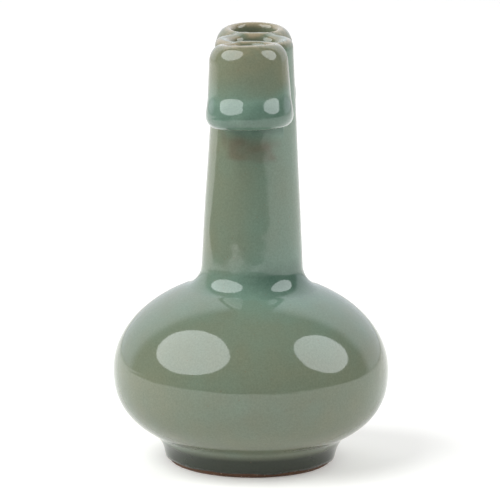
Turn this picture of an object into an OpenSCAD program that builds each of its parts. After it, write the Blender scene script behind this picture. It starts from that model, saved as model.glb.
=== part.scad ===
// Stoneware bottle with two open tube lugs beside the mouth.
// Thrown and rolled clay pieces, the slip that lutes them together, and three coats of glaze.
// Millimetres, +Z up. The origin is the middle of the foot, on the surface that it stands on.
// The lugs stand at -Y (front) and +Y (rear). Outside sizes are over the glaze.

/* [Body] */
// Radius of the body at its widest
body_r = 56; // [52:0.5:60]
// Height of the widest line above the foot
waist_z = 37.9; // [36:0.1:40]
// Height of the body's curve above the widest line, if it ran to the axis
crown_h = 38.5; // [36:0.5:41]
// Depth of the body's curve below the widest line, if it ran to the axis
belly_h = 32.8; // [31:0.2:33.4]
// How full the lower curve is; 2 is an ellipse
belly_power = 2.4; // [2.2:0.1:2.8]
// Thickness of the body's wall, clay and glaze together
body_wall = 4.6; // [4:0.2:6]

/* [Foot] */
// Radius of the foot where it stands
foot_r = 33.9; // [32:0.1:35]
// Radius of the foot where it meets the body
foot_top_r = 36.1; // [35:0.1:37]
// Height of the foot ring, with its slip
foot_h = 9; // [8.4:0.2:9.6]
// Radius of the hollow inside the foot ring
recess_r = 26.5; // [24:0.5:28]
// Depth of the hollow inside the foot ring
recess_h = 5.5; // [4.5:0.1:6]
// Bare clay left below the glaze on the outside of the foot
bare_h = 2.2; // [1:0.1:3.5]

/* [Neck] */
// Radius of the neck at its root
root_r = 20.3; // [19:0.1:22]
// How far the side of the neck leans in
neck_taper = 3.1; // [2.6:0.1:3.8]
// Radius of the hollow curve between body and neck
root_fillet = 10.4; // [8:0.2:12]
// Height of the neck's lip
lip_z = 174; // [173:0.5:176]
// Radius of the mouth's straight throat
throat_r = 9.8; // [9:0.1:10.4]
// Height at which the straight throat begins
throat_z = 138; // [132:1:142]
// Thickness of the neck's wall at its root
root_wall = 4.4; // [4:0.1:5.5]

/* [Lugs] */
// Distance from the bottle's axis to each lug's axis, at half the lug's length
lug_d = 23.7; // [23.3:0.1:24.3]
// Height of the middle of the lug's top above the neck's lip
lug_rise = 1; // [0.4:0.1:1.4]
// Length of a lug
lug_h = 32.5; // [28:0.5:36]
// Radius of a lug below its lip
lug_top_r = 15.3; // [15:0.1:15.8]
// Radius of a lug at half its length
lug_mid_r = 16.1; // [15.8:0.1:16.4]
// Radius of a lug at its flared lower edge
lug_flare_r = 17; // [16.6:0.1:17.6]
// Radius of the hole through a lug
lug_hole_r = 8.9; // [8.4:0.1:9.1]
// How far the top of each lug leans in towards the neck, in degrees
lug_pitch = 4.4; // [3:0.1:6]
// How far each lug is luted off the line through the bottle's axis, in degrees
lug_turn = 2.3; // [0:0.1:4]
// How far the front lug leans over to the left, in degrees
front_lean = 2; // [0:0.1:3]

/* [Glaze and slip] */
// Thickness of each coat of glaze
glaze = 0.5; // [0.4:0.05:0.6]
// Thickness of the slip between two luted edges
slip = 0.5; // [0.3:0.1:0.8]
// Reach of the slip that fills the crease beside a lug
crease_slip = 1; // [0.8:0.1:1.2]

/* [Hidden] */
$fn = 96;

clay_colour = "#8f6350";
slip_colour = "#a87a62";
glaze_colour = "#7d9384";

crown_power = 2;
belly_step = 6;         // degrees between the points of the body's curves
arc_step = 15;          // degrees between the points of the small curves
ground_bevel = 0.7;     // bevel on the foot's standing edge
lip_w = 2.6;            // half the thickness of the neck's lip
lip_h = 3;              // height over which the neck's lip is rounded
lug_lip_h = 7;          // height over which the outside of a lug's lip is rounded
lug_lip_w = 5;          // width over which it is rounded
lug_bore_lip = 2.5;     // height over which the inside of a lug's lip is rounded
lug_foot_w = 4;         // rounding of a lug's lower edge, across
lug_foot_h = 4.3;       // rounding of a lug's lower edge, up
flare_share = 0.4;      // share of a lug's length that is flared
waist_step = 2;         // height of the step in the luted joint at the waist
spigot_h = 3;           // how far the neck's spigot sits down in the body
over = 20;              // overrun of cutting solids

lug_top_z = lip_z + lug_rise;
lug_low_z = lug_top_z - lug_h;
lug_crest_r = lug_top_r - lug_lip_w;

// Points from angle a to angle b, both included.
function steps(a, b, step) =
    let (n = max(2, ceil(abs(b - a) / step))) [for (k = [0:n]) a + (b - a) * k / n];

// A point on the body's curve, taken inwards by inset. Angle 0 is the waist and 90 the axis.
// side is 1 above the waist and -1 below it.
function curve_point(angle, h, power, side, inset) =
    let (
        c = cos(angle), s = sin(angle),
        nx = pow(c, 2 - 2 / power) / body_r, nz = pow(s, 2 - 2 / power) / h,
        m = norm([nx, nz])
    )
    [
        body_r * pow(c, 2 / power) - inset * nx / m,
        waist_z + side * (h * pow(s, 2 / power) - inset * nz / m)
    ];

// A quarter or less of an ellipse about a centre.
function arc(centre, w, h, from, to) =
    [for (a = steps(from, to, arc_step)) [centre.x + w * cos(a), centre.y + h * sin(a)]];

// Where a circle of the root fillet's radius, resting on the crown at an angle, has its centre.
function fillet_centre(angle) = curve_point(angle, crown_h, crown_power, 1, -root_fillet);

// The angle at which that circle also touches the neck, found by halving.
function fillet_angle(low, high, n = 30) =
    let (mid = (low + high) / 2, r = fillet_centre(mid).x - root_fillet * cos(neck_taper))
    n == 0 ? mid : r > root_r ? fillet_angle(mid, high, n - 1) : fillet_angle(low, mid, n - 1);

crown_end = fillet_angle(40, 80);
fillet_c = fillet_centre(crown_end);
root_z = fillet_c.y - root_fillet * sin(neck_taper);
// Direction from the fillet's centre down to where it leaves the crown
crown_end_dir = fillet_c - curve_point(crown_end, crown_h, crown_power, 1, 0);
fillet_low = 180 + atan2(crown_end_dir.y, crown_end_dir.x);
fillet_high = 180 + neck_taper;
neck_top_r = root_r - (lip_z - lip_h - root_z) * tan(neck_taper);
lip_crest_r = neck_top_r - lip_w;
bore_lip_w = lip_crest_r - throat_r;
// The angle on the lower curve at which the body reaches the foot
belly_end = acos(pow(foot_top_r / body_r, belly_power / 2));

// Outlines. Each is over the glaze at inset 0 and on the clay at inset glaze.

function belly_side(inset, end) =
    [for (a = steps(end, 0, belly_step)) curve_point(a, belly_h, belly_power, -1, inset)];

function crown_side(inset, end) =
    [for (a = steps(0, end, belly_step)) if (a > 0) curve_point(a, crown_h, crown_power, 1, inset)];

function root_side(inset) =
    [for (p = arc(fillet_c, root_fillet + inset, root_fillet + inset, fillet_low, fillet_high))
        if (p.x > 0) p];

module body_form(inset) {
    rotate_extrude()
        polygon(concat(
            [[0, foot_h], [foot_top_r - inset, foot_h]],
            belly_side(inset, belly_end),
            crown_side(inset, crown_end),
            root_side(inset),
            [[0, root_z - inset * sin(neck_taper)]]
        ));
}

module neck_form(inset) {
    lip_c = [lip_crest_r, lip_z - lip_h];
    rotate_extrude()
        polygon(concat(
            [[0, root_z - 1], [root_r + tan(neck_taper) - inset, root_z - 1]],
            arc(lip_c, lip_w - inset, lip_h - inset, 0, 90),
            [[0, lip_z - inset]]
        ));
}

module foot_form(inset) {
    rotate_extrude()
        polygon([
            [0, 0], [foot_r - inset - ground_bevel, 0], [foot_r - inset, ground_bevel],
            [foot_top_r - inset, foot_h], [0, foot_h]
        ]);
}

// The space inside the bottle, up to the top of the straight throat.
module cavity(grow) {
    w = body_wall - grow;
    inner_root_r = root_r - root_wall + grow;
    rotate_extrude()
        polygon(concat(
            belly_side(w, 90),
            crown_side(w, crown_end),
            [[inner_root_r, root_z], [throat_r + grow, throat_z]],
            [[throat_r + grow, lip_z - lip_h], [0, lip_z - lip_h]]
        ));
}

// The rounded lip of the mouth, and the air above it.
module mouth(grow) {
    lip_c = [lip_crest_r, lip_z - lip_h];
    rotate_extrude()
        polygon(concat(
            [[0, lip_z - lip_h]],
            arc(lip_c, -(bore_lip_w - grow), lip_h - grow, 0, 90),
            [[lip_crest_r, lip_z + over], [0, lip_z + over]]
        ));
}

// Places a lug: side is -1 at the front and 1 at the rear.
module at_lug(side) {
    lean = side < 0 ? front_lean : 0;
    middle_z = (lug_top_z + lug_low_z) / 2;
    translate([-lug_d * sin(lug_turn), side * lug_d * cos(lug_turn), middle_z])
        rotate([side * lug_pitch, -lean, 0])
            translate([0, 0, -middle_z])
                children();
}

module lug_form(side, inset) {
    flare_z = lug_low_z + lug_h * flare_share;
    foot_c = [lug_flare_r - lug_foot_w, lug_low_z + lug_foot_h];
    lip_c = [lug_crest_r, lug_top_z - lug_lip_h];
    at_lug(side)
        rotate_extrude()
            polygon(concat(
                [[0, lug_low_z + inset]],
                arc(foot_c, lug_foot_w - inset, lug_foot_h - inset, -90, 0),
                [for (a = [30:30:180])
                    [
                        lug_mid_r - inset + (lug_flare_r - lug_mid_r) * (1 + cos(a)) / 2,
                        foot_c.y + (flare_z - foot_c.y) * a / 180
                    ]],
                arc(lip_c, lug_lip_w - inset, lug_lip_h - inset, 0, 90),
                [[0, lug_top_z - inset]]
            ));
}

// The hole through a lug and its rounded upper lip. It is reamed from above, so it also takes
// a groove out of the neck, and it ends level with the lug's lower edge.
module lug_hole(side, grow) {
    top_c = [lug_crest_r, lug_top_z - lug_bore_lip];
    top_w = lug_crest_r - lug_hole_r;
    at_lug(side)
        rotate_extrude()
            polygon(concat(
                [[0, lug_low_z - grow], [lug_hole_r + grow, lug_low_z - grow]],
                arc(top_c, -(top_w - grow), lug_bore_lip - grow, 0, 90),
                [[lug_crest_r, lug_top_z + over], [0, lug_top_z + over]]
            ));
    lug_hole_foot(side, grow);
}

// The rounded lower edge of that hole, and the air below it beside the neck.
module lug_hole_foot(side, grow) {
    low_w = lug_flare_r - lug_foot_w - lug_hole_r;
    low_c = [lug_hole_r + low_w, lug_low_z + lug_foot_h];
    difference() {
        at_lug(side)
            rotate_extrude()
                polygon(concat(
                    [[0, lug_low_z - over], [low_c.x, lug_low_z - over]],
                    arc(low_c, -(low_w - grow), -(lug_foot_h - grow), 90, 0),
                    [[0, low_c.y]]
                ));
        neck_form(grow);
    }
}

// The slip pressed into the crease between a lug and the neck, below the lips.
module crease_form(side, inset) {
    intersection() {
        neck_form(inset - crease_slip);
        lug_form(side, inset - crease_slip);
        translate([0, 0, lug_low_z + lug_foot_h])
            cylinder(r = 2 * lug_d, h = lug_h - lug_foot_h - lug_lip_h);
    }
}

// The whole outside as one filled form.
module outside(inset) {
    foot_form(inset);
    body_form(inset);
    neck_form(inset);
    for (side = [-1, 1]) {
        lug_form(side, inset);
        crease_form(side, inset);
    }
}

// Everything below a stepped joint face that is z high outside radius r and z + step inside it.
module below_joint(z, step, r) {
    translate([0, 0, -over]) {
        cylinder(r = 2 * body_r, h = z + over);
        cylinder(r = r, h = z + step + over);
    }
}

// The thrown body and neck as one hollow clay form. The pieces below are cut from it.
module thrown_clay() {
    difference() {
        union() {
            body_form(glaze);
            neck_form(glaze);
            translate([0, 0, recess_h])
                cylinder(r = recess_r, h = foot_h - recess_h + 1);
        }
        cavity(glaze);
        mouth(glaze);
    }
}

waist_mid_r = body_r - body_wall / 2;
spigot_r = root_r - root_wall / 2;

module below_waist(gap) {
    below_joint(waist_z + gap, waist_step, waist_mid_r + gap);
}

module below_root(gap) {
    difference() {
        below_joint(root_z + gap, 0, spigot_r);
        translate([0, 0, root_z - spigot_h + gap])
            cylinder(r = spigot_r - gap, h = over);
    }
}

module foot_ring() {
    color(clay_colour)
        difference() {
            intersection() {
                foot_form(glaze);
                cylinder(r = body_r, h = foot_h - slip);
            }
            translate([0, 0, -1])
                cylinder(r = recess_r, h = foot_h + 2);
        }
}

module foot_slip() {
    color(slip_colour)
        translate([0, 0, foot_h - slip])
            difference() {
                cylinder(r = foot_top_r - glaze, h = slip);
                translate([0, 0, -1])
                    cylinder(r = recess_r, h = slip + 2);
            }
}

module lower_bowl() {
    color(clay_colour)
        intersection() {
            thrown_clay();
            below_waist(0);
        }
}

module waist_slip() {
    color(slip_colour)
        intersection() {
            thrown_clay();
            difference() {
                below_waist(slip);
                below_waist(0);
            }
        }
}

module upper_bowl() {
    color(clay_colour)
        difference() {
            intersection() {
                thrown_clay();
                below_root(0);
            }
            below_waist(slip);
        }
}

module neck_slip() {
    color(slip_colour)
        intersection() {
            thrown_clay();
            difference() {
                below_root(slip);
                below_root(0);
            }
        }
}

module neck() {
    color(clay_colour)
        difference() {
            thrown_clay();
            below_root(slip);
            for (side = [-1, 1]) lug_hole(side, glaze);
        }
}

module lug(side) {
    color(clay_colour)
        difference() {
            lug_form(side, glaze);
            neck_form(glaze);
            lug_hole(side, glaze);
            mouth(glaze);
        }
}

module lug_slip(side) {
    color(slip_colour)
        difference() {
            crease_form(side, glaze);
            neck_form(glaze);
            lug_form(side, glaze);
        }
}

module base_glaze() {
    color(glaze_colour)
        difference() {
            translate([0, 0, bare_h])
                cylinder(r = recess_r, h = recess_h - bare_h);
            translate([0, 0, -1])
                cylinder(r = recess_r - glaze, h = recess_h - glaze + 1);
        }
}

module liner_glaze() {
    color(glaze_colour)
        difference() {
            cavity(glaze);
            cavity(0);
        }
}

module outer_glaze() {
    color(glaze_colour)
        difference() {
            outside(0);
            difference() {
                outside(glaze);
                mouth(glaze);
                for (side = [-1, 1]) lug_hole(side, glaze);
            }
            mouth(0);
            for (side = [-1, 1]) lug_hole(side, 0);
            translate([0, 0, -over])
                cylinder(r = body_r, h = bare_h + over);
        }
}

foot_ring();
lower_bowl();
upper_bowl();
neck();
lug(-1);  // front_lug
lug(1);  // rear_lug
foot_slip();
waist_slip();
neck_slip();
lug_slip(-1);  // front_lug_slip
lug_slip(1);  // rear_lug_slip
base_glaze();
liner_glaze();
outer_glaze();
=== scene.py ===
import itertools
import math

import bpy
import numpy as np
from bpy.props import FloatProperty, FloatVectorProperty, PointerProperty
from mathutils import Matrix, Vector


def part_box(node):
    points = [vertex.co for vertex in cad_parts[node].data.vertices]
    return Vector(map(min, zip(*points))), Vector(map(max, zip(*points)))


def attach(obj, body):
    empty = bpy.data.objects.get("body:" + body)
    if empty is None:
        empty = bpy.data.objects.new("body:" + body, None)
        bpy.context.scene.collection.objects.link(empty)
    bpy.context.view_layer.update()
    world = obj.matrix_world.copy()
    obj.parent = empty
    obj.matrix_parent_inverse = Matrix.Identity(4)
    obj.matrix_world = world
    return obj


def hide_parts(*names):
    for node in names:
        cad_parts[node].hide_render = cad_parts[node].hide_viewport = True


bl_info = {
    "name": "Celadon bottle with tube lugs",
    "version": (1, 0, 0),
    "blender": (4, 5, 0),
    "location": "3D View > Sidebar > Bottle",
    "description": "Adds the fired surfaces of a stoneware bottle around its packed frame",
    "category": "Add Mesh",
}

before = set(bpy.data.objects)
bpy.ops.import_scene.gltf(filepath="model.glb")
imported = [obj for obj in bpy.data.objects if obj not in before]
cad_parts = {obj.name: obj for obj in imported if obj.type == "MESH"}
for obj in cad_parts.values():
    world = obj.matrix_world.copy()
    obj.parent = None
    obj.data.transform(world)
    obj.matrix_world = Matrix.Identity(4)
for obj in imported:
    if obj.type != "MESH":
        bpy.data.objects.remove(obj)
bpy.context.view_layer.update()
mm = 0.001
far = 0.05  # how far a filled outline runs past the axis
lug_edge_wide, lug_edge_high = 4 * mm, 4.3 * mm  # rounding of a lug's lower edge
lug_lip_wide, lug_lip_high = 5 * mm, 7 * mm  # rounding of the outside of a lug's lip


def hex_colour(text):
    """An sRGB hex colour as linear red, green, blue and alpha."""
    values = [int(text[i:i + 2], 16) / 255 for i in (1, 3, 5)]
    linear = [v / 12.92 if v <= 0.04045 else ((v + 0.055) / 1.055) ** 2.4 for v in values]
    return (*linear, 1.0)


def length(name, description, default):
    return FloatProperty(name=name, description=description, default=default, unit="LENGTH", precision=5)


def angle(name, description, default):
    return FloatProperty(name=name, description=description, default=math.radians(default), unit="ROTATION")


def share(name, description, default):
    return FloatProperty(name=name, description=description, default=default)


def colour(name, description, default):
    return FloatVectorProperty(
        name=name, description=description, default=hex_colour(default), size=4, subtype="COLOR", min=0, max=1
    )


def half_width(node):
    low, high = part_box(node)
    return (high.x - low.x) / 2


class BottleSizes(bpy.types.PropertyGroup):
    body_radius: length("Body", "Radius of the body at its widest", half_width("outer_glaze"))
    waist_height: length("Waist", "Height of the widest line", 37.9 * mm)
    crown_height: length("Crown", "Height of the upper curve if it ran to the axis", 38.5 * mm)
    belly_height: length("Belly", "Depth of the lower curve if it ran to the axis", 32.8 * mm)
    belly_power: share("Belly fullness", "How full the lower curve is; 2 is an ellipse", 2.4)
    wall: length("Wall", "Thickness of the body's wall", 4.6 * mm)
    foot_radius: length("Foot", "Radius of the foot where it stands", 33.9 * mm)
    foot_top_radius: length("Foot's top", "Radius of the foot where it meets the body", 36.1 * mm)
    foot_height: length("Foot height", "Height of the foot ring", 9 * mm)
    recess_radius: length("Recess", "Radius of the hollow inside the foot", half_width("base_glaze"))
    recess_height: length("Recess depth", "Depth of the hollow inside the foot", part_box("base_glaze")[1].z)
    glaze_edge: length("Glaze edge", "Height at which the glaze ends on the foot", 2 * mm)
    root_radius: length("Neck's root", "Radius of the neck at its root", 20.3 * mm)
    root_fillet: length("Root curve", "Radius of the hollow curve under the neck", 10.4 * mm)
    neck_taper: angle("Neck's lean", "How far the side of the neck leans in", 3.1)
    lip_height: length("Lip", "Height of the neck's lip", 174 * mm)
    lip_rounding: length("Lip rounding", "Half the thickness of the lip", 2.6 * mm)
    lip_depth: length("Lip depth", "Height over which the lip is rounded", 3 * mm)
    throat_radius: length("Throat", "Radius of the straight throat", 9.8 * mm)
    throat_height: length("Throat's start", "Height at which the straight throat begins", 138 * mm)
    root_wall: length("Root's wall", "Thickness of the wall at the neck's root", 4.4 * mm)
    lug_distance: length("Lug distance", "From the bottle's axis to a lug's axis at mid-length", 23.7 * mm)
    lug_top: length("Lug's top", "Height of the middle of a lug's top", 175 * mm)
    lug_length: length("Lug length", "Length of a lug", 32.5 * mm)
    lug_top_radius: length("Lug below its lip", "Outer radius of a lug below its lip", 15.3 * mm)
    lug_mid_radius: length("Lug's middle", "Outer radius at half its length", 16.1 * mm)
    lug_flare_radius: length("Lug's flare", "Outer radius at its lower edge", 17 * mm)
    lug_roll: length("Lug's roll", "How far the lower edge is rolled out, away from the neck", 2.2 * mm)
    lug_hole_radius: length("Lug's hole", "Radius of the hole through a lug", 8.9 * mm)
    lug_wall: length("Shared wall", "Wall between a lug's hole and the mouth", 4.1 * mm)
    lug_turn: angle("Lug turn", "How far the lugs are luted off the line through the axis", 2.3)
    lug_pitch: angle("Lug pitch", "How far the top of each lug leans in towards the neck", 4.4)
    front_lean: angle("Front lug's lean", "How far the front lug leans over", 2.0)
    coat: length("Glaze", "Thickness of the glaze", 0.45 * mm)
    grid: length("Grid", "Spacing of the points from which the glazed surface is made", 1.2 * mm)


class BottleColours(bpy.types.PropertyGroup):
    thin_glaze: colour("Thin glaze", "Brown of the clay through the glaze on an edge", "#92856d")
    # The finger mark colour is the brown of the marks on the neck under the front lug.
    brown_mark: colour("Finger mark", "Where a wet finger thinned the coat under the lug", "#615a4b")
    olive_glaze: colour("Olive glaze", "Where the coat is a little thin", "#71705a")
    celadon: colour("Celadon", "The coat at its usual thickness", "#676f5d")
    teal_glaze: colour("Teal glaze", "Where the glaze has run together", "#63786a")
    pooled_glaze: colour("Pooled glaze", "Deepest glaze, in a crease", "#425a4e")
    # The foot glaze colour is painted shade: the coat over the foot drawn dark as if in the belly's shadow.
    foot_painted_shade: colour("Foot glaze", "The coat over the foot's dark clay", "#22281e")
    foot_clay: colour("Foot clay", "Bare fired clay at the foot", "#6b5140")
    foot_flash: colour("Foot flash", "Redder blush of the bare clay beside the glaze", "#8a5f45")
    body_clay: colour("Body clay", "Fired clay under the glaze", "#8f6350")
    slip: colour("Slip", "Fired slip in the joints", "#a87a62")
    floor: colour("Floor", "Paper that the bottle stands on", "#f1edea")
    # The card colour is painted shade, standing in for the unlit room beyond the paper.
    card: colour("Card", "Dark card in front of the paper", "#4a4a4a")


class StudioSettings(bpy.types.PropertyGroup):
    distance: length("Distance", "From the camera to the point it looks at", 1.5884)
    aim_height: length("Aim", "Height of the point that the camera looks at", 87.16 * mm)
    elevation: angle("Elevation", "Camera above the horizon", 11.51)
    azimuth: angle("Azimuth", "Camera round the bottle, from the front", 2.3)
    roll: angle("Roll", "Camera's tilt to the left", 0.55)
    paper_front: length("Paper's front", "How far the white paper reaches in front of the bottle", 0.79)
    paper_left: length("Paper's left side", "How far the white paper reaches to the left", 0.57)
    paper_right: length("Paper's right side", "How far the white paper reaches to the right", 0.8)
    card_back: length("Card's back", "How far past the bottle the dark card at the left reaches", 0.3)


# Outlines in the radius-height plane. A filled outline runs past the axis to -far.


def steps(start, end, step):
    count = max(2, math.ceil(abs(end - start) / step))
    return [start + (end - start) * i / count for i in range(count + 1)]


def arc(centre, wide, high, start, end, step=10):
    """A part of an ellipse round a centre, from one angle in degrees to another."""
    turns = [math.radians(a) for a in steps(start, end, step)]
    return [(centre[0] + wide * math.cos(a), centre[1] + high * math.sin(a)) for a in turns]


def curve_point(sizes, degrees, height, power, side, inset=0.0):
    """A point on the body's curve: 0 degrees is the waist, 90 the axis; side 1 is above and -1 below."""
    c, s = max(math.cos(math.radians(degrees)), 0), max(math.sin(math.radians(degrees)), 0)
    out = Vector((c ** (2 - 2 / power) / sizes.body_radius, s ** (2 - 2 / power) / height)).normalized()
    return (
        sizes.body_radius * c ** (2 / power) - inset * out.x,
        sizes.waist_height + side * (height * s ** (2 / power) - inset * out.y),
    )


def belly_side(sizes, inset=0.0, start=90):
    angles = steps(start, 0, 1.5)
    return [curve_point(sizes, a, sizes.belly_height, sizes.belly_power, -1, inset) for a in angles]


def crown_side(sizes, end, inset=0.0):
    angles = steps(0, end, 1.5)[1:]
    return [curve_point(sizes, a, sizes.crown_height, 2, 1, inset) for a in angles]


def root_curve(sizes):
    """Where the hollow curve leaves the crown, in degrees, and the curve's centre."""
    low, high = 40.0, 80.0
    for _ in range(40):
        middle = (low + high) / 2
        centre = curve_point(sizes, middle, sizes.crown_height, 2, 1, -sizes.root_fillet)
        if centre[0] - sizes.root_fillet * math.cos(sizes.neck_taper) > sizes.root_radius:
            low = middle
        else:
            high = middle
    return low, centre


def root_height(sizes):
    return root_curve(sizes)[1][1] - sizes.root_fillet * math.sin(sizes.neck_taper)


def neck_radius(sizes, height):
    return sizes.root_radius - (height - root_height(sizes)) * math.tan(sizes.neck_taper)


def lip_centre(sizes):
    start = sizes.lip_height - sizes.lip_depth
    return neck_radius(sizes, start) - sizes.lip_rounding, start


def body_outline(sizes):
    """The thrown pot as one filled form: belly, crown, root curve, neck and the outside of its lip."""
    end, centre = root_curve(sizes)
    leave = curve_point(sizes, end, sizes.crown_height, 2, 1)
    start = 180 + math.degrees(math.atan2(centre[1] - leave[1], centre[0] - leave[0]))
    fillet = arc(centre, sizes.root_fillet, sizes.root_fillet, start, 180 + math.degrees(sizes.neck_taper), 4)
    lip = arc(lip_centre(sizes), sizes.lip_rounding, sizes.lip_depth, 0, 90)
    belly = belly_side(sizes)
    return [(-far, belly[0][1]), *belly, *crown_side(sizes, end), *fillet[1:], *lip, (-far, sizes.lip_height)]


def foot_outline(sizes):
    """The foot, run on upwards until its top is well inside the belly."""
    top = sizes.foot_height + 4 * mm
    return [
        (-far, -far), (sizes.foot_radius, -far), (sizes.foot_radius, 0),
        (sizes.foot_top_radius, sizes.foot_height), (sizes.foot_top_radius, top), (-far, top),
    ]


def mouth_outline(sizes):
    """The air of the straight throat, the rounded lip and the room above it."""
    centre = lip_centre(sizes)
    wide = centre[0] - sizes.throat_radius
    lip = arc(centre, -wide, sizes.lip_depth, 0, 90)
    return [(-far, sizes.throat_height), (sizes.throat_radius, sizes.throat_height), *lip,
            (centre[0] + 2 * mm, sizes.lip_height + far), (-far, sizes.lip_height + far)]


def lug_outline(sizes):
    """The outside of a lug: rounded lower edge, flare, nearly straight side and a broad rounded lip."""
    low = sizes.lug_top - sizes.lug_length
    edge_centre = (sizes.lug_flare_radius - lug_edge_wide, low + lug_edge_high)
    edge = arc(edge_centre, lug_edge_wide, lug_edge_high, -90, 0)
    flare_end = low + 0.4 * sizes.lug_length
    flare = [
        (sizes.lug_mid_radius + (sizes.lug_flare_radius - sizes.lug_mid_radius) * (1 + math.cos(a)) / 2,
         edge[-1][1] + (flare_end - edge[-1][1]) * a / math.pi)
        for a in steps(0, math.pi, math.pi / 10)[1:]
    ]
    lip_centre_point = (sizes.lug_top_radius - lug_lip_wide, sizes.lug_top - lug_lip_high)
    lip = arc(lip_centre_point, lug_lip_wide, lug_lip_high, 0, 90)
    return [(-far, low), *edge, *flare, *lip, (-far, sizes.lug_top)]


def lug_bore_outline(sizes):
    """The air through a lug, rounded out at its lip and at its lower edge."""
    low = sizes.lug_top - sizes.lug_length
    edge_wide = sizes.lug_flare_radius - lug_edge_wide - sizes.lug_hole_radius
    edge_centre = (sizes.lug_hole_radius + edge_wide, low + lug_edge_high)
    edge = arc(edge_centre, -edge_wide, -lug_edge_high, 90, 0)
    lip_wide, lip_high = sizes.lug_top_radius - lug_lip_wide - sizes.lug_hole_radius, 2.5 * mm
    lip = arc((sizes.lug_hole_radius + lip_wide, sizes.lug_top - lip_high), -lip_wide, lip_high, 0, 90)
    return [(-far, low - far), (edge[0][0], low - far), *edge, *lip,
            (lip[-1][0], sizes.lug_top + far), (-far, sizes.lug_top + far)]


def reamed_outline(sizes):
    """The tool that opens a lug from above and grooves the neck's side a little."""
    low, top, hole = sizes.lug_top - sizes.lug_length, sizes.lug_top, sizes.lug_hole_radius
    return [(-far, low), (hole, low), (hole, top), (-far, top)]


# Signed distances in metres, negative inside. They make the glazed surface with its soft joints.


def outline_distance(outline, radius, height):
    """Distance from points in the radius-height plane to a closed outline."""
    nearest = np.full(radius.shape, 1.0)
    inside = np.zeros(radius.shape, bool)
    for (r0, z0), (r1, z1) in zip(outline, outline[1:] + outline[:1]):
        edge_r, edge_z = r1 - r0, z1 - z0
        dr, dz = radius - r0, height - z0
        along = np.clip((dr * edge_r + dz * edge_z) / (edge_r ** 2 + edge_z ** 2), 0, 1)
        nearest = np.minimum(nearest, (dr - along * edge_r) ** 2 + (dz - along * edge_z) ** 2)
        if edge_z:
            crosses = (z0 <= height) != (z1 <= height)
            inside ^= crosses & (radius < r0 + dz / edge_z * edge_r)
    return np.where(inside, -1, 1) * np.sqrt(nearest)


def soft_union(a, b, blend):
    overlap = np.maximum(blend - np.abs(a - b), 0) / blend
    return np.minimum(a, b) - overlap ** 2 * blend / 4


def soft_cut(solid, cutter, blend):
    return -soft_union(-solid, cutter, blend)


def lug_place(sizes, points, side):
    """Radius from a lug's own axis and height along it; side is -1 for the front lug, 1 for the rear one."""
    lean = sizes.front_lean if side < 0 else 0.0
    middle = sizes.lug_top - sizes.lug_length / 2
    x = points[:, 0] + sizes.lug_distance * math.sin(sizes.lug_turn)
    y = points[:, 1] - side * sizes.lug_distance * math.cos(sizes.lug_turn)
    z = points[:, 2] - middle
    across = x * math.cos(lean) + z * math.sin(lean)
    upright = z * math.cos(lean) - x * math.sin(lean)
    pitch = side * sizes.lug_pitch
    outward = y * math.cos(pitch) + upright * math.sin(pitch)
    return np.hypot(across, outward), upright * math.cos(pitch) - y * math.sin(pitch) + middle


def glazed_form(sizes, points):
    """The whole glazed outside: pot and lugs, luted with soft creases, less the lugs' holes and the mouth."""
    foot_crease, lug_crease = 5 * mm, 1.4 * mm
    hole_edge, reamed_edge, mouth_edge, wall_edge = 0.6 * mm, 1.2 * mm, 1.4 * mm, 1.5 * mm
    radius, height = np.hypot(points[:, 0], points[:, 1]), points[:, 2]
    pot = outline_distance(body_outline(sizes), radius, height)
    form = soft_union(pot, outline_distance(foot_outline(sizes), radius, height), foot_crease)
    mouth = outline_distance(mouth_outline(sizes), radius, height)
    low = sizes.lug_top - sizes.lug_length
    top = height > low - 6 * mm
    upper = form[top]
    upper_mouth = mouth[top]
    places = [lug_place(sizes, points[top], side) for side in (-1, 1)]
    for lug_radius, lug_height in places:
        outward = np.abs(points[top, 1]) - sizes.lug_distance
        facing = np.clip(outward / np.maximum(lug_radius, mm), 0, 1) ** 2
        roll = sizes.lug_roll * facing * smooth_step(low - lug_height, -13 * mm, -5.5 * mm)
        lug = outline_distance(lug_outline(sizes), lug_radius - roll, lug_height)
        bore = outline_distance(lug_bore_outline(sizes), lug_radius, lug_height)
        upper = soft_union(upper, soft_cut(lug, bore, hole_edge), lug_crease)
        lug_wall = lug_radius - sizes.lug_hole_radius - sizes.lug_wall
        upper_mouth = soft_cut(upper_mouth, lug_wall, wall_edge)
    for lug_radius, lug_height in places:
        reamed = outline_distance(reamed_outline(sizes), lug_radius, lug_height)
        upper = soft_cut(upper, reamed, reamed_edge)
    form[top] = soft_cut(upper, upper_mouth, mouth_edge)
    return form


def gradient(form, points, reach):
    """Slope of a distance at each point, and how much the surface there is rounded out or hollow."""
    here = form(points)
    slope = np.empty_like(points)
    bend = np.zeros(len(points))
    for axis in range(3):
        shift = np.zeros(3)
        shift[axis] = reach
        ahead, behind = form(points + shift), form(points - shift)
        slope[:, axis] = (ahead - behind) / (2 * reach)
        bend += (ahead + behind - 2 * here) / reach ** 2
    return here, slope / np.linalg.norm(slope, axis=1, keepdims=True), bend


def onto_surface(form, points, times):
    for _ in range(times):
        here, slope, _ = gradient(form, points, 0.05 * mm)
        points = points - here[:, None] * slope
    return points


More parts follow.
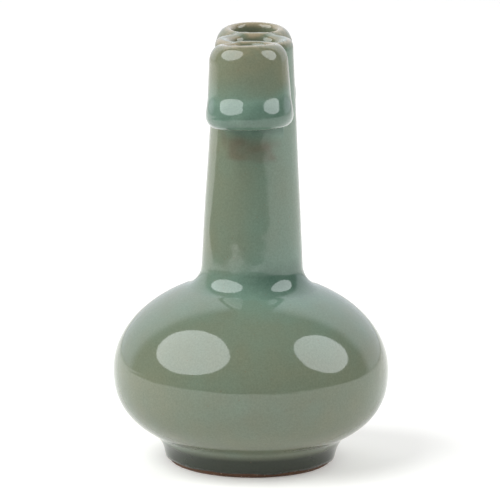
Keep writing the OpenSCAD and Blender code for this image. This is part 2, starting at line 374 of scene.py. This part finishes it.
def skin(form, low, high, step):
    """Points and four-sided faces of the surface where form is zero: one point in each cell it crosses."""
    counts = [math.ceil((h - l) / step) + 1 for l, h in zip(low, high)]
    axes = [l + step * np.arange(n) for l, n in zip(low, counts)]
    grid = np.stack(np.meshgrid(*axes, indexing="ij"), axis=-1).reshape(-1, 3)
    inside = (form(grid) < 0).reshape(counts)
    cells = [n - 1 for n in counts]
    filled = np.zeros(cells, int)
    for i, j, k in itertools.product((0, 1), repeat=3):
        filled += inside[i:i + cells[0], j:j + cells[1], k:k + cells[2]]
    crossed = (filled > 0) & (filled < 8)
    number = np.full(cells, -1)
    number[crossed] = np.arange(crossed.sum())
    points = np.array(low) + step * (np.argwhere(crossed) + 0.5)
    faces = []
    for axis in range(3):
        side, other = (axis + 1) % 3, (axis + 2) % 3
        change = np.diff(inside.astype(int), axis=axis)
        for sign in (-1, 1):
            edges = np.argwhere(change == sign)
            keep = (edges[:, side] > 0) & (edges[:, other] > 0)
            keep &= (edges[:, side] < cells[side]) & (edges[:, other] < cells[other])
            edges = edges[keep]
            ring = [(0, 0), (1, 0), (1, 1), (0, 1)][::sign]
            corners = []
            for back_side, back_other in ring:
                cell = edges.copy()
                cell[:, side] -= back_side
                cell[:, other] -= back_other
                corners.append(number[cell[:, 0], cell[:, 1], cell[:, 2]])
            faces.append(np.stack(corners, axis=1))
    return points, np.concatenate(faces)


def open_edge(faces, count):
    """Which points lie at the bottom of the surface, on a side that only one face has."""
    sides = np.sort(np.stack([faces, np.roll(faces, -1, axis=1)], axis=2).reshape(-1, 2), axis=1)
    sides, uses = np.unique(sides, axis=0, return_counts=True)
    on_edge = np.zeros(count, bool)
    on_edge[sides[uses == 1].ravel()] = True
    return on_edge


def relaxed(points, faces, times, form):
    """Each point moves towards the middle of its neighbours and back onto the surface."""
    start = faces.ravel()
    end = np.roll(faces, -1, axis=1).ravel()
    links = np.concatenate([np.stack([start, end], 1), np.stack([end, start], 1)])
    count = np.bincount(links[:, 0], minlength=len(points))[:, None]
    for _ in range(times):
        sums = [np.bincount(links[:, 0], points[links[:, 1], axis], len(points)) for axis in range(3)]
        points = onto_surface(form, points + 0.6 * (np.stack(sums, 1) / count - points), 1)
    return points


def smooth_step(value, low, high):
    t = np.clip((value - low) / (high - low), 0, 1)
    return t * t * (3 - 2 * t)


def waves(points, size, seed, count=7):
    """A smooth random field between about -1 and 1, with waves of a given length."""
    rng = np.random.default_rng(seed)
    total = np.zeros(len(points))
    for _ in range(count):
        way = rng.normal(size=3)
        way *= 2 * math.pi / size / np.linalg.norm(way)
        total += np.sin(points @ way + rng.uniform(0, 2 * math.pi))
    return total / math.sqrt(count)


def glaze_depth(sizes, points, bend):
    """How thick the glaze lies, from 0 on a worn edge to 1 in a pool, with painted shade under the lugs added
    as extra depth.
    """
    radius, height = np.hypot(points[:, 0], points[:, 1]), points[:, 2]
    depth = 0.5 + 0.05 * waves(points, 45 * mm, 3) + 0.02 * waves(points, 12 * mm, 4)
    root = root_height(sizes)
    depth += 0.22 * np.exp(-((height - root + 3 * mm) / (8 * mm)) ** 2) * (radius < 40 * mm)
    shoulder = Vector((0.8, -0.6, 0)).normalized()
    towards = (points[:, 0] * shoulder.x + points[:, 1] * shoulder.y) / np.maximum(radius, mm)
    depth += 0.16 * smooth_step(towards, 0.1, 1) * smooth_step(height, 46 * mm, 60 * mm)
    low = sizes.lug_top - sizes.lug_length
    off_neck = radius > neck_radius(sizes, height) + 0.3 * mm
    worn = np.ones(len(points))
    for side in (-1, 1):
        lug_radius, lug_height = lug_place(sizes, points, side)
        on_lug = smooth_step(-lug_radius, -22 * mm, -21 * mm) * off_neck * (lug_height > low - mm)
        change = smooth_step(lug_height + 1.2 * mm * waves(points, 14 * mm, 6), low + 7 * mm, low + 24 * mm)
        lug_depth = 0.88 - 0.52 * change + 0.03 * waves(points, 10 * mm, 5)
        depth = depth * (1 - on_lug) + lug_depth * on_lug
        worn *= 1 - on_lug * (1 - change)
        # Under each lug the glaze is drawn deeper and darker: painted shade where the lug shades the neck.
        below = (lug_radius < 18 * mm) & (height < low + mm)
        depth += 0.28 * below * smooth_step(height, low - 9 * mm, low)
    hollow = np.clip(-bend / 300, 0, 1)
    rounded = np.clip((bend - 170) / 420, 0, 1)
    depth += 0.2 * hollow * smooth_step(-height, -150 * mm, -140 * mm) - 0.62 * rounded * worn
    return np.clip(depth, 0, 1)


def glaze_blush(sizes, points):
    """Brown marks on the neck under the front lug."""
    low = sizes.lug_top - sizes.lug_length
    x = points[:, 0] + 0.8 * mm * waves(points, 7 * mm, 8)
    z = points[:, 2] - low + 0.7 * mm * waves(points, 8 * mm, 9)
    mark_patch = smooth_step(-np.abs(x), -11.5 * mm, -7 * mm) * smooth_step(z, -17 * mm, -14.6 * mm)
    mark_patch *= smooth_step(-z, 4.5 * mm, 10 * mm) * (0.75 + 0.25 * np.clip(waves(points, 6 * mm, 10), -1, 1))
    beside = smooth_step(-np.abs(x + 11 * mm), -2.6 * mm, -0.5 * mm) * smooth_step(z, -12 * mm, -8 * mm)
    on_neck = np.hypot(points[:, 0], points[:, 1]) < neck_radius(sizes, points[:, 2]) + mm
    return np.maximum(mark_patch, 0.5 * beside) * (points[:, 1] < 0) * on_neck * (z < 0.5 * mm)


# Meshes and materials.


def make_piece(name, points, faces, replaces, material, attributes=None):
    mesh = bpy.data.meshes.new(name)
    mesh.from_pydata([tuple(p) for p in points], [], [tuple(int(v) for v in f) for f in faces])
    mesh.validate()
    mesh.shade_smooth()
    for key, values in (attributes or {}).items():
        layer = mesh.attributes.new(key, "FLOAT", "POINT")
        layer.data.foreach_set("value", np.asarray(values, np.float32))
    mesh.materials.append(material)
    piece = bpy.data.objects.new(name, mesh)
    bpy.context.scene.collection.objects.link(piece)
    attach(piece, "root")
    if replaces:
        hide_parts(*replaces)
    return piece


def turned(outline, sides, closed=False):
    """Points and faces of an outline turned round the axis."""
    turn = 2 * math.pi * np.arange(sides) / sides
    rows = [np.stack([r * np.cos(turn), r * np.sin(turn), np.full(sides, z)], 1) for r, z in outline]
    points = np.concatenate(rows)
    faces = []
    count = len(outline)
    for row in range(count if closed else count - 1):
        a, b = row * sides, (row + 1) % count * sides
        for i in range(sides):
            j = (i + 1) % sides
            faces.append((a + i, a + j, b + j, b + i))
    return points, faces


def add_node(tree, kind, settings=None, inputs=None, stops=()):
    """Adds a node. settings are its own values. inputs are numbers, colours, sockets to link from, or nodes
    that stand for their first output. stops are the places and colours of a ramp. The colours of a mix node
    are its inputs 6 and 7 and its output 2, as it has sockets of the same names for other types."""
    node = tree.nodes.new(kind)
    for key, value in (settings or {}).items():
        setattr(node, key, value)
    for key, value in (inputs or {}).items():
        if isinstance(value, bpy.types.Node):
            value = value.outputs[0]
        if isinstance(value, bpy.types.NodeSocket):
            tree.links.new(value, node.inputs[key])
        else:
            node.inputs[key].default_value = value
    if stops:
        elements = node.color_ramp.elements
        while len(elements) < len(stops):
            elements.new(0.5)
        for element, (place, value) in zip(elements, stops):
            element.position = place
            element.color = value
    return node


def new_material(name):
    material = bpy.data.materials.new(name)
    material.use_nodes = True
    material.node_tree.nodes.clear()
    return material, material.node_tree


def celadon_glaze(colours):
    """Celadon: iron glaze fired in reduction. It is green where deep and brown where the clay shows through,
    with a glassy skin over fine bubbles, which make it look a little milky and grainy."""
    material, tree = new_material("celadon_glaze")
    place = add_node(tree, "ShaderNodeTexCoord").outputs["Object"]
    # The depth also carries the painted shade under the lugs.
    depth = add_node(tree, "ShaderNodeAttribute", {"attribute_name": "glaze_depth"}).outputs["Fac"]
    blush = add_node(tree, "ShaderNodeAttribute", {"attribute_name": "glaze_blush"}).outputs["Fac"]
    # The depth clouds over about 9 mm, as the dip ran on.
    cloud = add_node(tree, "ShaderNodeTexNoise", inputs={"Vector": place, "Scale": 1 / (9 * mm), "Detail": 4})
    centred = add_node(tree, "ShaderNodeMath", {"operation": "SUBTRACT"}, {0: cloud, 1: 0.5})
    uneven = add_node(tree, "ShaderNodeMath", {"operation": "MULTIPLY_ADD"}, {0: centred, 1: 0.16, 2: depth})
    by_depth = add_node(tree, "ShaderNodeValToRGB", inputs={"Fac": uneven}, stops=[
        (0.0, colours.thin_glaze), (0.27, colours.olive_glaze), (0.5, colours.celadon),
        (0.78, colours.teal_glaze), (1.0, colours.pooled_glaze)])
    # Share of the brown mark under the front lug.
    wiped = add_node(tree, "ShaderNodeMath", {"operation": "MULTIPLY"}, {0: blush, 1: 0.8})
    marked = add_node(tree, "ShaderNodeMix", {"data_type": "RGBA"}, {
        0: wiped, 6: by_depth, 7: colours.brown_mark}).outputs[2]
    # Over the foot the coat is drawn darker towards the floor: this is painted shade under the overhanging
    # belly.
    height = add_node(tree, "ShaderNodeSeparateXYZ", inputs={"Vector": place}).outputs["Z"]
    foot_shade_share = add_node(tree, "ShaderNodeMapRange", {"interpolation_type": "SMOOTHSTEP"}, {
        "Value": height, "From Min": 7.2 * mm, "From Max": 10.5 * mm, "To Min": 0.9, "To Max": 0.0})
    coat = add_node(tree, "ShaderNodeMix", {"data_type": "RGBA"}, {
        0: foot_shade_share, 6: marked, 7: colours.foot_painted_shade}).outputs[2]
    # Bubbles of about 0.2 mm are too fine to show, so their grain is drawn at 0.7 mm.
    bubbles = add_node(tree, "ShaderNodeTexNoise", inputs={
        "Vector": place, "Scale": 1 / (0.7 * mm), "Detail": 3})
    lightness = add_node(tree, "ShaderNodeValToRGB", inputs={"Fac": bubbles}, stops=[
        (0.3, (0.36, 0.36, 0.36, 1)), (0.7, (0.64, 0.64, 0.64, 1))])
    grained = add_node(tree, "ShaderNodeMix", {"data_type": "RGBA", "blend_type": "SOFT_LIGHT"}, {
        0: 0.35, 6: coat, 7: lightness}).outputs[2]
    # Iron specks in the clay bleed through as dots of up to 0.5 mm, some 13 mm apart.
    spots = add_node(tree, "ShaderNodeTexVoronoi", inputs={"Vector": place, "Scale": 1 / (4.5 * mm)})
    speck = add_node(tree, "ShaderNodeMath", {"operation": "LESS_THAN"}, {0: spots, 1: 0.06})
    faint = add_node(tree, "ShaderNodeMath", {"operation": "MULTIPLY"}, {0: speck, 1: 0.35})
    tint = add_node(tree, "ShaderNodeMix", {"data_type": "RGBA"}, {
        0: faint, 6: grained, 7: colours.foot_clay}).outputs[2]
    # The skin of the glaze heaves gently over 7 mm and has a finer orange peel of 1.5 mm.
    swell = add_node(tree, "ShaderNodeTexNoise", inputs={"Vector": place, "Scale": 1 / (7 * mm), "Detail": 1})
    heave = add_node(tree, "ShaderNodeBump", inputs={
        "Height": swell, "Strength": 0.15, "Distance": 0.06 * mm})
    pores = add_node(tree, "ShaderNodeTexNoise", inputs={
        "Vector": place, "Scale": 1 / (1.5 * mm), "Detail": 2})
    peel = add_node(tree, "ShaderNodeBump", inputs={
        "Height": pores, "Strength": 0.3, "Distance": 0.012 * mm, "Normal": heave})
    # A few pinholes of up to 0.5 mm, where a bubble broke, some 50 mm apart.
    pits = add_node(tree, "ShaderNodeTexVoronoi", inputs={"Vector": place, "Scale": 1 / (11 * mm)})
    pinhole = add_node(tree, "ShaderNodeMath", {"operation": "LESS_THAN"}, {0: pits, 1: 0.022})
    pitted = add_node(tree, "ShaderNodeBump", {"invert": True}, {
        "Height": pinhole, "Strength": 0.6, "Distance": 0.1 * mm, "Normal": peel})
    # Handling has dulled the gloss a little, in patches of about 3 mm.
    dulled = add_node(tree, "ShaderNodeTexNoise", inputs={
        "Vector": place, "Scale": 1 / (3 * mm), "Detail": 2})
    rough = add_node(tree, "ShaderNodeMath", {"operation": "MULTIPLY_ADD"}, {0: dulled, 1: 0.05, 2: 0.035})
    surface = add_node(tree, "ShaderNodeBsdfPrincipled", inputs={
        "Base Color": tint, "Roughness": rough, "IOR": 1.52, "Normal": pitted})
    add_node(tree, "ShaderNodeOutputMaterial", inputs={"Surface": surface})
    return material


def bare_stoneware(colours):
    """Bare fired stoneware: matt brown clay with sand, wiped clean of glaze, so it is dull and gritty."""
    material, tree = new_material("bare_stoneware")
    place = add_node(tree, "ShaderNodeTexCoord").outputs["Object"]
    # The kiln flashed the clay redder towards the glaze, in patches of about 6 mm.
    height = add_node(tree, "ShaderNodeSeparateXYZ", inputs={"Vector": place}).outputs["Z"]
    upwards = add_node(tree, "ShaderNodeMapRange", inputs={
        "Value": height, "From Min": 0.2 * mm, "From Max": 1.6 * mm})
    patches = add_node(tree, "ShaderNodeTexNoise", inputs={
        "Vector": place, "Scale": 1 / (6 * mm), "Detail": 3})
    flash = add_node(tree, "ShaderNodeMath", {"operation": "MULTIPLY"}, {0: upwards, 1: patches})
    flashed = add_node(tree, "ShaderNodeMix", {"data_type": "RGBA"}, {
        0: flash, 6: colours.foot_clay, 7: colours.foot_flash}).outputs[2]
    # Pale grains of sand of up to 0.5 mm, some 3 mm apart.
    sand = add_node(tree, "ShaderNodeTexVoronoi", inputs={"Vector": place, "Scale": 1 / (1.6 * mm)})
    grain = add_node(tree, "ShaderNodeMath", {"operation": "LESS_THAN"}, {0: sand, 1: 0.16})
    pale = add_node(tree, "ShaderNodeMath", {"operation": "MULTIPLY"}, {0: grain, 1: 0.5})
    sandy = add_node(tree, "ShaderNodeMix", {"data_type": "RGBA"}, {
        0: pale, 6: flashed, 7: hex_colour("#cbb9a2")}).outputs[2]
    # Dirt has settled between the grains.
    dirt = add_node(tree, "ShaderNodeTexNoise", inputs={
        "Vector": place, "Scale": 1 / (0.9 * mm), "Detail": 4})
    thin_dirt = add_node(tree, "ShaderNodeMath", {"operation": "MULTIPLY"}, {0: dirt, 1: 0.5})
    tint = add_node(tree, "ShaderNodeMix", {"data_type": "RGBA"}, {
        0: thin_dirt, 6: sandy, 7: hex_colour("#3f2e25")}).outputs[2]
    grit = add_node(tree, "ShaderNodeTexNoise", inputs={
        "Vector": place, "Scale": 1 / (0.6 * mm), "Detail": 4})
    bump = add_node(tree, "ShaderNodeBump", inputs={"Height": grit, "Strength": 0.8, "Distance": 0.12 * mm})
    surface = add_node(tree, "ShaderNodeBsdfPrincipled", inputs={
        "Base Color": tint, "Roughness": 0.85, "Normal": bump})
    add_node(tree, "ShaderNodeOutputMaterial", inputs={"Surface": surface})
    return material


def fired_clay(name, main, grain_size):
    """Fired clay or slip inside the wall: matt and finely grained."""
    material, tree = new_material(name)
    place = add_node(tree, "ShaderNodeTexCoord").outputs["Object"]
    grain = add_node(tree, "ShaderNodeTexNoise", inputs={
        "Vector": place, "Scale": 1 / grain_size, "Detail": 4})
    dark = tuple(0.6 * v for v in main[:3]) + (1.0,)
    tint = add_node(tree, "ShaderNodeMix", {"data_type": "RGBA"}, {0: grain, 6: dark, 7: main}).outputs[2]
    bump = add_node(tree, "ShaderNodeBump", inputs={"Height": grain, "Strength": 0.6, "Distance": 0.08 * mm})
    surface = add_node(tree, "ShaderNodeBsdfPrincipled", inputs={
        "Base Color": tint, "Roughness": 0.88, "Normal": bump})
    add_node(tree, "ShaderNodeOutputMaterial", inputs={"Surface": surface})
    return material


def studio_paper(name, main, glow):
    """Background paper or card: matt, with a fine fibre. The white one glows faintly and stays pale."""
    material, tree = new_material(name)
    place = add_node(tree, "ShaderNodeTexCoord").outputs["Object"]
    fibre = add_node(tree, "ShaderNodeTexNoise", inputs={"Vector": place, "Scale": 1 / (2 * mm), "Detail": 3})
    faint = add_node(tree, "ShaderNodeMath", {"operation": "MULTIPLY"}, {0: fibre, 1: 0.2})
    shade = tuple(0.8 * v for v in main[:3]) + (1.0,)
    tint = add_node(tree, "ShaderNodeMix", {"data_type": "RGBA"}, {0: faint, 6: main, 7: shade}).outputs[2]
    surface = add_node(tree, "ShaderNodeBsdfPrincipled", inputs={
        "Base Color": tint, "Roughness": 0.9, "Specular IOR Level": 0.2,
        "Emission Color": main, "Emission Strength": glow})
    add_node(tree, "ShaderNodeOutputMaterial", inputs={"Surface": surface})
    return material


class BOTTLE_OT_clay(bpy.types.Operator):
    """Give the clay pieces and the slip between them their fired surfaces"""
    bl_idname = "bottle.clay"
    bl_label = "Clay and slip"

    def execute(self, context):
        colours = context.scene.bottle_colours
        clay = fired_clay("fired_stoneware", tuple(colours.body_clay), 0.8 * mm)
        slip = fired_clay("fired_slip", tuple(colours.slip), 0.4 * mm)
        for node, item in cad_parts.items():
            item.data.materials.clear()
            item.data.materials.append(slip if node.endswith("_slip") else clay)
        return {"FINISHED"}


class BOTTLE_OT_foot(bpy.types.Operator):
    """Add the bare foot ring, with its worn standing edge"""
    bl_idname = "bottle.foot"
    bl_label = "Foot ring"

    def execute(self, context):
        sizes, colours = context.scene.bottle_sizes, context.scene.bottle_colours
        skin_depth = 0.5 * mm
        outer, top = sizes.foot_radius - skin_depth, sizes.foot_height - skin_depth
        bevel = 0.9 * mm
        inner = sizes.recess_radius
        outline = [
            *arc((outer - bevel, bevel), bevel, bevel, -90, 0, 15),
            *[(outer + (sizes.foot_top_radius - sizes.foot_radius) * t, bevel + (top - bevel) * t)
              for t in steps(0, 1, 0.1)[1:]],
            *[(inner, top * t) for t in steps(1, 0.12, 0.1)],
            *arc((inner + bevel, bevel), bevel, bevel, 180, 270, 15),
        ]
        points, faces = turned(outline, 288, closed=True)
        radius = np.hypot(points[:, 0], points[:, 1])
        rough = 0.05 * mm * waves(points, 3 * mm, 11) + 0.06 * mm * waves(points, 20 * mm, 12)
        points[:, :2] *= ((radius + rough) / radius)[:, None]
        worn = 0.04 * mm * (1 + waves(points, 8 * mm, 13))
        low = points[:, 2] < 0.1 * mm
        points[low, 2] += np.clip(worn[low], 0, 0.12 * mm)
        make_piece("bare_foot", points, faces, ["foot_ring"], bare_stoneware(colours))
        return {"FINISHED"}


class BOTTLE_OT_base(bpy.types.Operator):
    """Add the patch of glaze under the base, with its turned rings"""
    bl_idname = "bottle.base"
    bl_label = "Base glaze"

    def execute(self, context):
        sizes = context.scene.bottle_sizes
        low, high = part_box("base_glaze")
        radius = sizes.recess_radius - 0.02 * mm
        ceiling = high.z - sizes.coat
        corner = 1.5 * mm
        wall = arc((radius - sizes.coat - corner, ceiling - corner), corner, corner, 0, 90, 15)
        flat = [(r, ceiling - 0.12 * mm * (0.5 + 0.5 * math.cos(2 * math.pi * r / (4 * mm))))
                for r in steps(wall[-1][0], 0.4 * mm, 0.5 * mm)[1:]]
        outline = [(radius, low.z), (radius - sizes.coat, low.z + 0.2 * mm), *wall, *flat,
                   (0.4 * mm, high.z - 0.02 * mm), (radius, high.z - 0.02 * mm)]
        points, faces = turned(outline, 192, closed=True)
        edge = points[:, 2] < low.z + 0.3 * mm
        points[edge, 2] += 0.25 * mm * waves(points[edge] * (1, 1, 0), 9 * mm, 21)
        depth = 0.55 + 0.2 * smooth_step(np.hypot(points[:, 0], points[:, 1]), 20 * mm, 26 * mm)
        depth = depth - 0.5 * edge + 0.06 * waves(points, 15 * mm, 22)
        values = {"glaze_depth": np.clip(depth, 0, 1), "glaze_blush": np.zeros(len(points))}
        make_piece("base_coat", points, faces, ["base_glaze"],
                   bpy.data.materials["celadon_glaze"], values)
        return {"FINISHED"}


class BOTTLE_OT_liner(bpy.types.Operator):
    """Add the glaze poured inside, over the rings that the potter's fingers left"""
    bl_idname = "bottle.liner"
    bl_label = "Liner glaze"

    def execute(self, context):
        sizes = context.scene.bottle_sizes
        end = root_curve(sizes)[0]
        inner_root = sizes.root_radius - sizes.root_wall
        root = root_height(sizes)
        body = [*belly_side(sizes, sizes.wall, 89), *crown_side(sizes, end, sizes.wall)]
        neck = [(inner_root + (sizes.throat_radius - inner_root) * t, root + (sizes.throat_height - root) * t)
                for t in steps(0, 1, 0.03)]
        throat_length = sizes.lip_height - 6 * mm - sizes.throat_height
        throat = [(sizes.throat_radius, sizes.throat_height + throat_length * t)
                  for t in steps(0, 1, 0.06)[1:]]
        inside = [*body, *neck, *throat]
        outside = [(r + sizes.coat, z) for r, z in reversed(inside)]
        points, faces = turned([*inside, *outside], 160, closed=True)
        faces = [tuple(reversed(f)) for f in faces]
        radius = np.hypot(points[:, 0], points[:, 1])
        turn = np.arctan2(points[:, 1], points[:, 0]) / (2 * math.pi)
        rings = 0.16 * mm * np.sin(2 * math.pi * (points[:, 2] / (5.5 * mm) + turn))
        rings *= smooth_step(-points[:, 2], -(sizes.throat_height + 20 * mm), -sizes.throat_height)
        points[:, :2] *= ((radius + rings) / radius)[:, None]
        pooled = smooth_step(-points[:, 2], -30 * mm, -14 * mm)
        depth = 0.55 + 0.2 * pooled + 0.08 * waves(points, 18 * mm, 31)
        values = {"glaze_depth": np.clip(depth, 0, 1), "glaze_blush": np.zeros(len(points))}
        make_piece("liner_coat", points, faces, ["liner_glaze"],
                   bpy.data.materials["celadon_glaze"], values)
        return {"FINISHED"}


class BOTTLE_OT_coat(bpy.types.Operator):
    """Add the celadon coat outside, over the lips and through the lugs"""
    bl_idname = "bottle.coat"
    bl_label = "Outer glaze"

    def execute(self, context):
        sizes, colours = context.scene.bottle_sizes, context.scene.bottle_colours

        def form(points):
            return glazed_form(sizes, points)

        reach = sizes.body_radius + 1.5 * sizes.grid
        low = (-reach, -reach, sizes.glaze_edge - 0.5 * sizes.grid)
        high = (reach, reach, sizes.lug_top + 2 * sizes.grid)
        points, faces = skin(form, low, high, sizes.grid)
        points = onto_surface(form, points, 1)
        radius = np.hypot(points[:, 0], points[:, 1])
        floor = (radius < sizes.throat_radius + 0.1 * mm) & (points[:, 2] < sizes.throat_height + 12 * mm)
        faces = faces[~floor[faces].any(axis=1)]
        used, numbers = np.unique(faces, return_inverse=True)
        points, faces = points[used], numbers.reshape(faces.shape)
        points = relaxed(points, faces, 3, form)
        line = sizes.glaze_edge + 0.25 * mm * waves(points * (1, 1, 0), 16 * mm, 41)
        # The rows of points near the open edge are spread evenly down to the wavy line where it ends.
        band = sizes.glaze_edge + 3 * sizes.grid
        near = points[:, 2] < band
        lowest = points[near, 2].min()
        share_up = (points[near, 2] - lowest) / (band - lowest)
        edge = open_edge(faces, len(points))
        share_up[edge[near]] = 0
        points[near, 2] = line[near] + share_up * (band - line[near])
        here, slope, _ = gradient(form, points, 0.05 * mm)
        points = points - here[:, None] * slope * (1, 1, 0)
        _, slope, bend = gradient(form, points, 1.1 * mm)
        values = {"glaze_depth": glaze_depth(sizes, points, bend), "glaze_blush": glaze_blush(sizes, points)}
        hand = 0.06 * mm * waves(points, 38 * mm, 42) + 0.008 * mm * waves(points * (1, 1, 3), 14 * mm, 43)
        points = points + slope * hand[:, None]
        piece = make_piece("celadon_coat", points, faces, ["outer_glaze"],
                           celadon_glaze(colours), values)
        thick = piece.modifiers.new("thickness", "SOLIDIFY")
        thick.thickness = sizes.coat
        thick.offset = -1
        return {"FINISHED"}


def backdrop(world):
    """A white sweep behind the bottle and a dim room in front, which the glaze mirrors."""
    world.use_nodes = True
    tree = world.node_tree
    tree.nodes.clear()
    way = add_node(tree, "ShaderNodeTexCoord").outputs["Generated"]
    parts = add_node(tree, "ShaderNodeSeparateXYZ", inputs={"Vector": way})
    sweep = add_node(tree, "ShaderNodeMapRange", {"interpolation_type": "SMOOTHSTEP"}, {
        "Value": parts.outputs["Y"], "From Min": 0.34, "From Max": 0.54})
    upper = add_node(tree, "ShaderNodeMapRange", {"interpolation_type": "SMOOTHSTEP"}, {
        "Value": parts.outputs["Z"], "From Min": 0.1, "From Max": 0.8})
    paper = add_node(tree, "ShaderNodeMix", {"data_type": "RGBA"}, {
        0: upper, 6: (1.02, 1.06, 1.12, 1), 7: (1.34, 1.4, 1.46, 1)}).outputs[2]
    light = add_node(tree, "ShaderNodeMix", {"data_type": "RGBA"}, {
        0: sweep, 6: (0.10, 0.10, 0.10, 1), 7: paper}).outputs[2]
    surface = add_node(tree, "ShaderNodeBackground", inputs={"Color": light, "Strength": 1.0})
    add_node(tree, "ShaderNodeOutputWorld", inputs={"Surface": surface})


def level_corners(left, right, front, back, height):
    return [(left, front, height), (right, front, height), (right, back, height), (left, back, height)]


def add_sheet(name, corners, material):
    """A flat sheet of paper or card."""
    mesh = bpy.data.meshes.new(name)
    mesh.from_pydata(corners, [], [(0, 1, 2, 3)])
    mesh.materials.append(material)
    sheet = bpy.data.objects.new(name, mesh)
    bpy.context.scene.collection.objects.link(sheet)
    return sheet


def add_softbox(name, azimuth, elevation, distance, wide, high, power):
    """A round softbox that faces the bottle. Azimuth 0 is at the front and grows towards +X."""
    data = bpy.data.lights.new(name, "AREA")
    data.shape = "ELLIPSE"
    data.size, data.size_y = wide, high
    data.energy = power
    data.color = (0.94, 0.99, 1.0)
    lamp = bpy.data.objects.new(name, data)
    bpy.context.scene.collection.objects.link(lamp)
    a, e = math.radians(azimuth), math.radians(elevation)
    way = Vector((math.sin(a) * math.cos(e), -math.cos(a) * math.cos(e), math.sin(e)))
    lamp.location = way * distance + Vector((0, 0, 50 * mm))
    lamp.rotation_euler = way.to_track_quat("Z", "Y").to_euler()
    lamp.visible_camera = False
    return lamp


def add_camera(studio):
    azimuth, elevation, roll = studio.azimuth, studio.elevation, studio.roll
    view_width = 0.20364
    back = Vector((
        math.sin(azimuth) * math.cos(elevation), -math.cos(azimuth) * math.cos(elevation), math.sin(elevation)
    ))
    right = Vector((math.cos(azimuth), math.sin(azimuth), 0))
    up = back.cross(right)
    data = bpy.data.cameras.new("camera")
    # The sensor is 36 mm wide. At the bottle's distance the view is view_width wide.
    data.lens = 36 * studio.distance / view_width
    data.shift_x = -0.0044
    data.clip_end = 50
    camera = bpy.data.objects.new("camera", data)
    bpy.context.scene.collection.objects.link(camera)
    turned_up = up * math.cos(roll) - right * math.sin(roll)
    turned_right = right * math.cos(roll) + up * math.sin(roll)
    axes = Matrix((turned_right, turned_up, back)).transposed()
    place = Vector((0, 0, studio.aim_height)) + back * studio.distance
    camera.matrix_world = Matrix.Translation(place) @ axes.to_4x4()
    bpy.context.scene.camera = camera


class BOTTLE_OT_stage(bpy.types.Operator):
    """Add the floor, the soft lights and the camera"""
    bl_idname = "bottle.stage"
    bl_label = "Studio"

    def execute(self, context):
        colours, studio = context.scene.bottle_colours, context.scene.bottle_studio
        room = 8.0
        left, right = -studio.paper_left, studio.paper_right
        front, back = -studio.paper_front, studio.card_back
        add_sheet("floor", level_corners(-room, room, -room, room, 0),
                  studio_paper("white_paper", tuple(colours.floor), 0.22))
        # Past the edges of the white paper the glaze mirrors the dark floor of the room. Grey cards stand in
        # for it: painted shade, seen only in reflections.
        room_shade_card = studio_paper("room_shade_card", tuple(colours.card), 0.0)
        cards = [
            add_sheet("front_card", level_corners(-room, right, -room, front, 5 * mm), room_shade_card),
            add_sheet("left_card", level_corners(-room, left, front, back, 5 * mm), room_shade_card),
        ]
        for card in cards:
            card.visible_camera = False
            card.visible_diffuse = False
            card.visible_shadow = False
        context.scene.world = bpy.data.worlds.new("studio")
        backdrop(context.scene.world)
        add_softbox("softbox_left", -65.3, 43, 2.4, 2.95, 2.4, 86)
        add_softbox("softbox_right", 81, 38.8, 2.4, 1.77, 2.05, 41)
        add_camera(studio)
        context.scene.view_settings.view_transform = "Standard"
        return {"FINISHED"}


class BOTTLE_PT_panel(bpy.types.Panel):
    bl_label = "Celadon bottle"
    bl_idname = "BOTTLE_PT_panel"
    bl_space_type = "VIEW_3D"
    bl_region_type = "UI"
    bl_category = "Bottle"

    def draw(self, context):
        for operator in OPERATORS:
            self.layout.operator(operator.bl_idname)
        for group in (context.scene.bottle_sizes, context.scene.bottle_colours, context.scene.bottle_studio):
            for key in group.__annotations__:
                self.layout.prop(group, key)


OPERATORS = (
    BOTTLE_OT_clay, BOTTLE_OT_foot, BOTTLE_OT_coat, BOTTLE_OT_liner, BOTTLE_OT_base, BOTTLE_OT_stage
)
CLASSES = (BottleSizes, BottleColours, StudioSettings, *OPERATORS, BOTTLE_PT_panel)


def register():
    for item in CLASSES:
        bpy.utils.register_class(item)
    bpy.types.Scene.bottle_sizes = PointerProperty(type=BottleSizes)
    bpy.types.Scene.bottle_colours = PointerProperty(type=BottleColours)
    bpy.types.Scene.bottle_studio = PointerProperty(type=StudioSettings)


def unregister():
    del bpy.types.Scene.bottle_studio
    del bpy.types.Scene.bottle_colours
    del bpy.types.Scene.bottle_sizes
    for item in reversed(CLASSES):
        bpy.utils.unregister_class(item)


def main():
    register()
    bpy.ops.bottle.clay()
    bpy.ops.bottle.foot()
    bpy.ops.bottle.coat()
    bpy.ops.bottle.liner()
    bpy.ops.bottle.base()
    bpy.ops.bottle.stage()
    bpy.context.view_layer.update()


if __name__ == "__main__":
    main()
